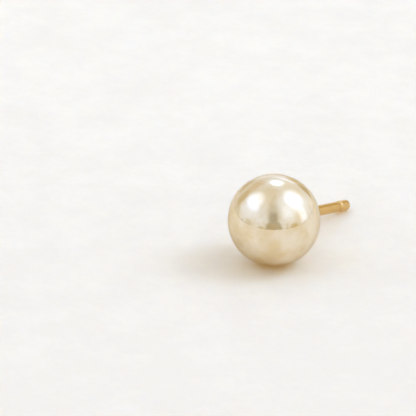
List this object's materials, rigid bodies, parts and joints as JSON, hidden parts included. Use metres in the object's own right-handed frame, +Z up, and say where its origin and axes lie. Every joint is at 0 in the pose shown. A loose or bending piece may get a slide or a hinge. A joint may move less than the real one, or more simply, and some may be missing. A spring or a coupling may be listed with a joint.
{
  "type": "ball stud earring",
  "caption": "Stud earring for a pierced ear: a polished hollow metal ball cemented on a straight round post with a catch notch, lying on its ball and tip.",
  "frame": {"origin": "on the table, under the middle of the whole stud's box as it lies on its ball and the tip of its post", "axes": "+Y the way the post points, level with the table, away from the ball's front; +Z up; +X to the side"},
  "size_m": [0.008, 0.0172, 0.008],
  "materials": {
    "champagne_gold": "polished",
    "yellow_gold": "gloss"
  },
  "bodies": {
    "root": {"ball": "champagne_gold", "ear_post": "yellow_gold"}
  },
  "joints": []
}
